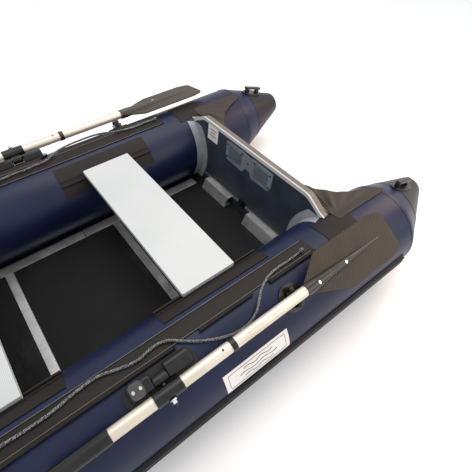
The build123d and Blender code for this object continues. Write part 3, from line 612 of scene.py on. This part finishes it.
# %% Two-tone edge cap
cap_tone = finish_of(
    "cap_tone", (0.10, 0.085, 0.070), (0.15, 0.125, 0.10), (0.40, 0.52), 12.0, 400.0, 0.0003,
)
cap_tree, cap_place, cap_colour = cap_tone[1], cap_tone[3], cap_tone[4]
lean = cap_tree.nodes.new("ShaderNodeVectorMath")
lean.operation = "DOT_PRODUCT"
lean.inputs[1].default_value = (cos(RAKE), 0, sin(RAKE))
cap_tree.links.new(cap_place, lean.inputs[0])
FACE_AT = TRANSOM_X * cos(RAKE) + FLOOR_Z * sin(RAKE)
lip_share = spread(cap_tree, lean.outputs["Value"], FACE_AT - 0.006, FACE_AT - 0.002, 0.0, 1.0)
two_tone = blend_colour(cap_tree, lip_share, cap_colour, (0.46, 0.47, 0.46))
cap_tree.links.new(two_tone, cap_tone[2].inputs["Base Color"])
clad(cap_tone[0], "transom_trim")
print("edge cap face at", round(FACE_AT, 4))

# %% Diagonal ribs on the pads
ribbed = finish_of(
    "ribbed_pad", (0.10, 0.115, 0.14), (0.16, 0.18, 0.21), (0.40, 0.52), 14.0, 500.0, 0.0003,
)


def add_ribs(made, turn, pitch, depth, tone):
    """Adds fine straight ribs to a finish, as bump and as a darker line of painted shade in each
    groove.
    """
    tree, shader, place, colour = made[1], made[2], made[3], made[4]
    turned = tree.nodes.new("ShaderNodeMapping")
    turned.inputs["Rotation"].default_value = turn
    tree.links.new(place, turned.inputs["Vector"])
    wave = add_node(tree, "ShaderNodeTexWave", Scale=1 / (pitch * 3.2))
    wave.bands_direction = "X"
    tree.links.new(turned.outputs["Vector"], wave.inputs["Vector"])
    # The darker line falls where the bump is low: painted shade in the grooves between ribs.
    lines = spread(tree, wave.outputs["Fac"], 0.15, 0.65, 1.0, 0.0)
    tree.links.new(blend_colour(tree, lines, colour, tone), shader.inputs["Base Color"])
    groove = add_node(tree, "ShaderNodeBump", Distance=depth, Strength=0.9)
    tree.links.new(wave.outputs["Fac"], groove.inputs["Height"])
    tree.links.new(made[5].outputs["Normal"], groove.inputs["Normal"])
    tree.links.new(groove.outputs["Normal"], shader.inputs["Normal"])


# The pad's darker lines between ribs are painted shade in the grooves.
add_ribs(ribbed, (radians(45), 0, 0), 0.0045, 0.0008, (0.03, 0.035, 0.045))
ribbed[1].nodes["Wave Texture"].bands_direction = "Y"
PAD_FIELD = (0.064, 0.090)
for label, across in (("port", 0.092), ("starboard", -0.092)):
    field = rounded_plate(*PAD_FIELD, 0.008, 0.0012, 0.0, 1)
    upright = Matrix(((0, 0, 1, 0), (0, 1, 0, 0), (-1, 0, 0, 0), (0, 0, 0, 1)))
    field.matrix_world = board_frame(across, 0.274, 0.0042) @ upright
    settle(field)
    turn_faces_out(field)
    finished(field, f"pad_ribs_{label}", ribbed)
print("pad fields:", PAD_FIELD)

# %% [markdown]
# ## Ribbed blades and seats
# The oar blades are moulded with fine slanting ribs that stop them slipping, and the bench
# boards are extrusions whose shallow grooves run their length. Both are too fine and too many
# for geometry, so they are a bump on the finish, with each groove painted darker as shade.

# %% Ribs on blades and benches
# The blade and bench ribs also get darker lines in their grooves, which are painted shade.
add_ribs(blade_plastic, (0, 0, radians(38)), 0.006, 0.0009, (0.030, 0.022, 0.017))
add_ribs(bench_white, (0, 0, 0), 0.0045, 0.00008, (0.43, 0.45, 0.455))
print("ribs:", blade_plastic[0].name, bench_white[0].name)

# %% [markdown]
# ## Blade ridges and rivets
# Each blade's socket runs on into a glossy ridge that tapers to nothing near the tip. It is a
# straight spline with its own thickness at each point. Two flat-headed rivets sit on top of it,
# each at its own height. The starboard oar is stowed turned up, so its pieces are turned about
# the same barrel and then mirrored.

# %% Ridges and rivets
ridge_gloss = finish_of(
    "ridge_gloss", (0.014, 0.0105, 0.008), (0.024, 0.018, 0.013), (0.22, 0.32), 14.0, 500.0,
    0.0002,
)
OAR_ANGLE = 56.5
BARREL_YZ = (0.6213979, 0.388829)
TURNED_UP = radians(24)


def turn_starboard(piece):
    """Turns a port piece up about the oarlock's barrel and mirrors it."""
    for vertex in piece.data.vertices:
        y, z = vertex.co.y - BARREL_YZ[0], vertex.co.z - BARREL_YZ[1]
        up_y = BARREL_YZ[0] + y * cos(TURNED_UP) - z * sin(TURNED_UP)
        up_z = BARREL_YZ[1] + y * sin(TURNED_UP) + z * cos(TURNED_UP)
        vertex.co = (vertex.co.x, -up_y, up_z)
    turn_faces_out(piece)


OAR_LIFT = 0.040
RIDGE = ((0.2675, 0.0228), (0.232, 0.0228), (0.100, 0.0158), (-0.020, 0.0095), (-0.119, 0.0042))
for side in ("port", "starboard"):
    run = [on_tube(along, OAR_ANGLE, OAR_LIFT) for along, radius in RIDGE]
    ridge = spline_piece("ridge", run, 2.0)
    ridge.data.splines[0].order_u = 2
    ridge.data.bevel_resolution = 8
    for point, (along, radius) in zip(ridge.data.splines[0].points, RIDGE):
        point.radius = radius
    shown = ridge.evaluated_get(bpy.context.evaluated_depsgraph_get())
    solid = bpy.data.meshes.new_from_object(shown)
    bpy.data.objects.remove(ridge)
    ridge = bpy.data.objects.new("ridge", solid)
    bpy.context.scene.collection.objects.link(ridge)
    if side == "starboard":
        turn_starboard(ridge)
    bpy.context.view_layer.objects.active = ridge
    ridge.select_set(True)
    bpy.ops.object.shade_smooth_by_angle(angle=radians(40))
    finished(ridge, f"{side}_blade_ridge", ridge_gloss, f"{side}_oar")
    for number, (along, lift) in enumerate(((0.215, 0.0618), (0.075, 0.0544))):
        rivet = rounded_plate(0.0095, 0.0095, 0.0043, 0.0022, lift, 2)
        wrap(rivet, along, OAR_ANGLE, 1)
        if side == "starboard":
            turn_starboard(rivet)
        finished(rivet, f"{side}_blade_rivet_{number}", bright_metal, f"{side}_oar")
print("rivets done")

# %% [markdown]
# ## Tube labels
# Each tube carries a pale label. Its own mark is left out: a thin dark border and three wavy
# strokes stand for a picture of water, and say nothing. Each is raised a hair off the plate.

# %% Label border and strokes
ink = finish_of(
    "label_ink", (0.020, 0.026, 0.060), (0.030, 0.038, 0.080), (0.4, 0.5), 30.0, 500.0, 0.0001,
)
LABEL_X, LABEL_ANGLE = 0.506, 20.75
LABEL_LIFT = 0.0016
LABEL_BORDER = (
    (-0.118, -0.030), (-0.118, 0.030), (0.118, 0.030), (0.118, -0.030), (-0.118, -0.030),
)
for side, hand in (("port", 1), ("starboard", -1)):
    strokes = []
    for row, reach in ((-0.016, 0.060), (0.0, 0.078), (0.016, 0.060)):
        wave = []
        for step in range(17):
            along = (step / 16 - 0.5) * 2 * reach
            across = row + 0.004 * sin(step * pi / 4)
            place = on_tube(LABEL_X + along, LABEL_ANGLE - across / TUBE_R * 180 / pi, LABEL_LIFT)
            wave.append(Vector((place.x, place.y * hand, place.z)))
        strokes.append(spline_piece(f"{side}_label_stroke", wave, 0.0022))
    border = []
    for first, last in zip(LABEL_BORDER, LABEL_BORDER[1:]):
        for share in (0.04, 0.35, 0.65, 0.96):
            along, across = Vector(first).lerp(Vector(last), share)
            place = on_tube(LABEL_X + along, LABEL_ANGLE - across / TUBE_R * 180 / pi, LABEL_LIFT)
            border.append(Vector((place.x, place.y * hand, place.z)))
    border.append(border[0])
    strokes.append(spline_piece(f"{side}_label_border", border, 0.0016))
    for number, stroke in enumerate(strokes):
        finished(stroke, f"{side}_label_line_{number}", ink)
for number, (up, reach) in enumerate(((0.316, 0.026), (0.300, 0.018), (0.284, 0.026))):
    across = [-0.281 + share * reach for share in (-1, -0.3, 0.3, 1)]
    ends = [board_frame(y, up, 0.0021).translation for y in across]
    finished(spline_piece("plate_line", ends, 0.0030), f"info_plate_line_{number}", ink)
print("label lines done")

# %% [markdown]
# ## Oarlock lids and screws
# Each oarlock stands on an oval flange, and its forward hump carries a
# rounded satin lid held by two bright screws. All are modelled flat and wrapped round the tube.
# The oar's sleeve sweeps past the hump's near end, so the lid stops short of it.

# %% Oarlock lids and screws
lid_satin = finish_of(
    "lid_satin", (0.035, 0.034, 0.032), (0.055, 0.053, 0.050), (0.28, 0.40), 25.0, 500.0, 0.0002,
)
PIN_X = 0.797
LID_X = PIN_X + 0.067
LID_ANGLE = 69.7
for side, hand in (("port", 1), ("starboard", -1)):
    lid = rounded_plate(0.040, 0.038, 0.012, 0.0040, 0.0421, 6)
    wrap(lid, LID_X, LID_ANGLE, hand)
    finished(lid, f"{side}_oarlock_lid", lid_satin)
    for number, along in enumerate((-0.011, 0.011)):
        screw = rounded_plate(0.0085, 0.0085, 0.0038, 0.0022, 0.0458, 2)
        wrap(screw, LID_X + along, LID_ANGLE, hand)
        finished(screw, f"{side}_lid_screw_{number}", bright_metal)
print("lids done")

# %% [markdown]
# ## Edge sheen and seams
# Each splash strip gets a thin pale bead along each edge, a painted reflection of the sky on the
# strip's edges, and the tube's seams are covered by narrow tapes. The beads are thin splines. The
# tape at each tail cap is a short cone with the tail's own taper.

# %% Painted sheen along the splash strips' edges
edge_sheen_grey = finish_of(
    "edge_sheen_grey", (0.075, 0.072, 0.070), (0.12, 0.115, 0.11), (0.4, 0.5), 20.0, 400.0, 0.0002,
)
# The pale grey beads are a painted reflection of the sky along both edges of each strip.
for side, hand in (("port", 1), ("starboard", -1)):
    for name, angle in (("out", 84.5), ("in", 102.5)):
        bead = []
        for step in range(9):
            place = on_tube(0.130 + 1.16 * step / 8, angle, 0.0048)
            bead.append(Vector((place.x, place.y * hand, place.z)))
        finished(spline_piece("bead", bead, 0.0026), f"{side}_strip_edge_sheen_{name}", edge_sheen_grey)
print("strip lips done")

# %% Seam tapes on the tails
TAIL_START, TAIL_END = Vector((-0.350, 0.537, 0.190)), Vector((-0.640, 0.502, 0.233))
TAIL_RADII = (0.190, 0.056)
for side, hand in (("port", 1), ("starboard", -1)):
    for name, near, far in (("cap", -0.438, -0.466), ("cone", -0.340, -0.362)):
        ends = []
        for x in (near, far):
            share = max(0.0, (TAIL_START.x - x) / (TAIL_START.x - TAIL_END.x))
            middle = TAIL_START.lerp(TAIL_END, share)
            radius = TAIL_RADII[0] + share * (TAIL_RADII[1] - TAIL_RADII[0])
            ends.append((Vector((TRANSOM_X + x, middle.y * hand, middle.z)), radius + 0.0011))
        mesh = bpy.data.meshes.new("tape")
        shape = bmesh.new()
        rings = []
        for place, radius in ends:
            turn = [2 * pi * step / 96 for step in range(96)]
            rings.append([
                shape.verts.new((
                    place.x, place.y + radius * cos(t), max(0.0012, place.z + radius * sin(t)),
                ))
                for t in turn
            ])
        for step in range(96):
            after = (step + 1) % 96
            shape.faces.new((rings[0][step], rings[0][after], rings[1][after], rings[1][step]))
        bmesh.ops.recalc_face_normals(shape, faces=shape.faces)
        shape.to_mesh(mesh)
        shape.free()
        tape = bpy.data.objects.new("tape", mesh)
        bpy.context.scene.collection.objects.link(tape)
        thick = tape.modifiers.new("thick", "SOLIDIFY")
        thick.thickness = 0.0008
        bpy.context.view_layer.objects.active = tape
        tape.select_set(True)
        bpy.ops.object.modifier_apply(modifier="thick")
        bpy.ops.object.shade_smooth_by_angle(angle=radians(30))
        finished(tape, f"{side}_{name}_tape", navy_cloth if name == "cone" else cap_cloth)
print("tail tapes done")

# %% [markdown]
# ## How glossy each finish is
# Under a pale sky every dark surface is lightened by what it mirrors. Coated cloth mirrors less
# than bare plastic, so each dark finish has its own reflection level, set last.

# %% Reflection levels
for made, level in (
    (navy_cloth, 0.30), (black_cloth, 0.20), (strake_rubber, 0.22), (skin_cloth, 0.28),
    (cap_cloth, 0.24), (gusset_cloth, 0.30), (moulded_black, 0.36), (slate_paint, 0.30),
    (blade_plastic, 0.24), (floor_ply, 0.16),
):
    made[2].inputs["Specular IOR Level"].default_value = level
print("reflection levels set")
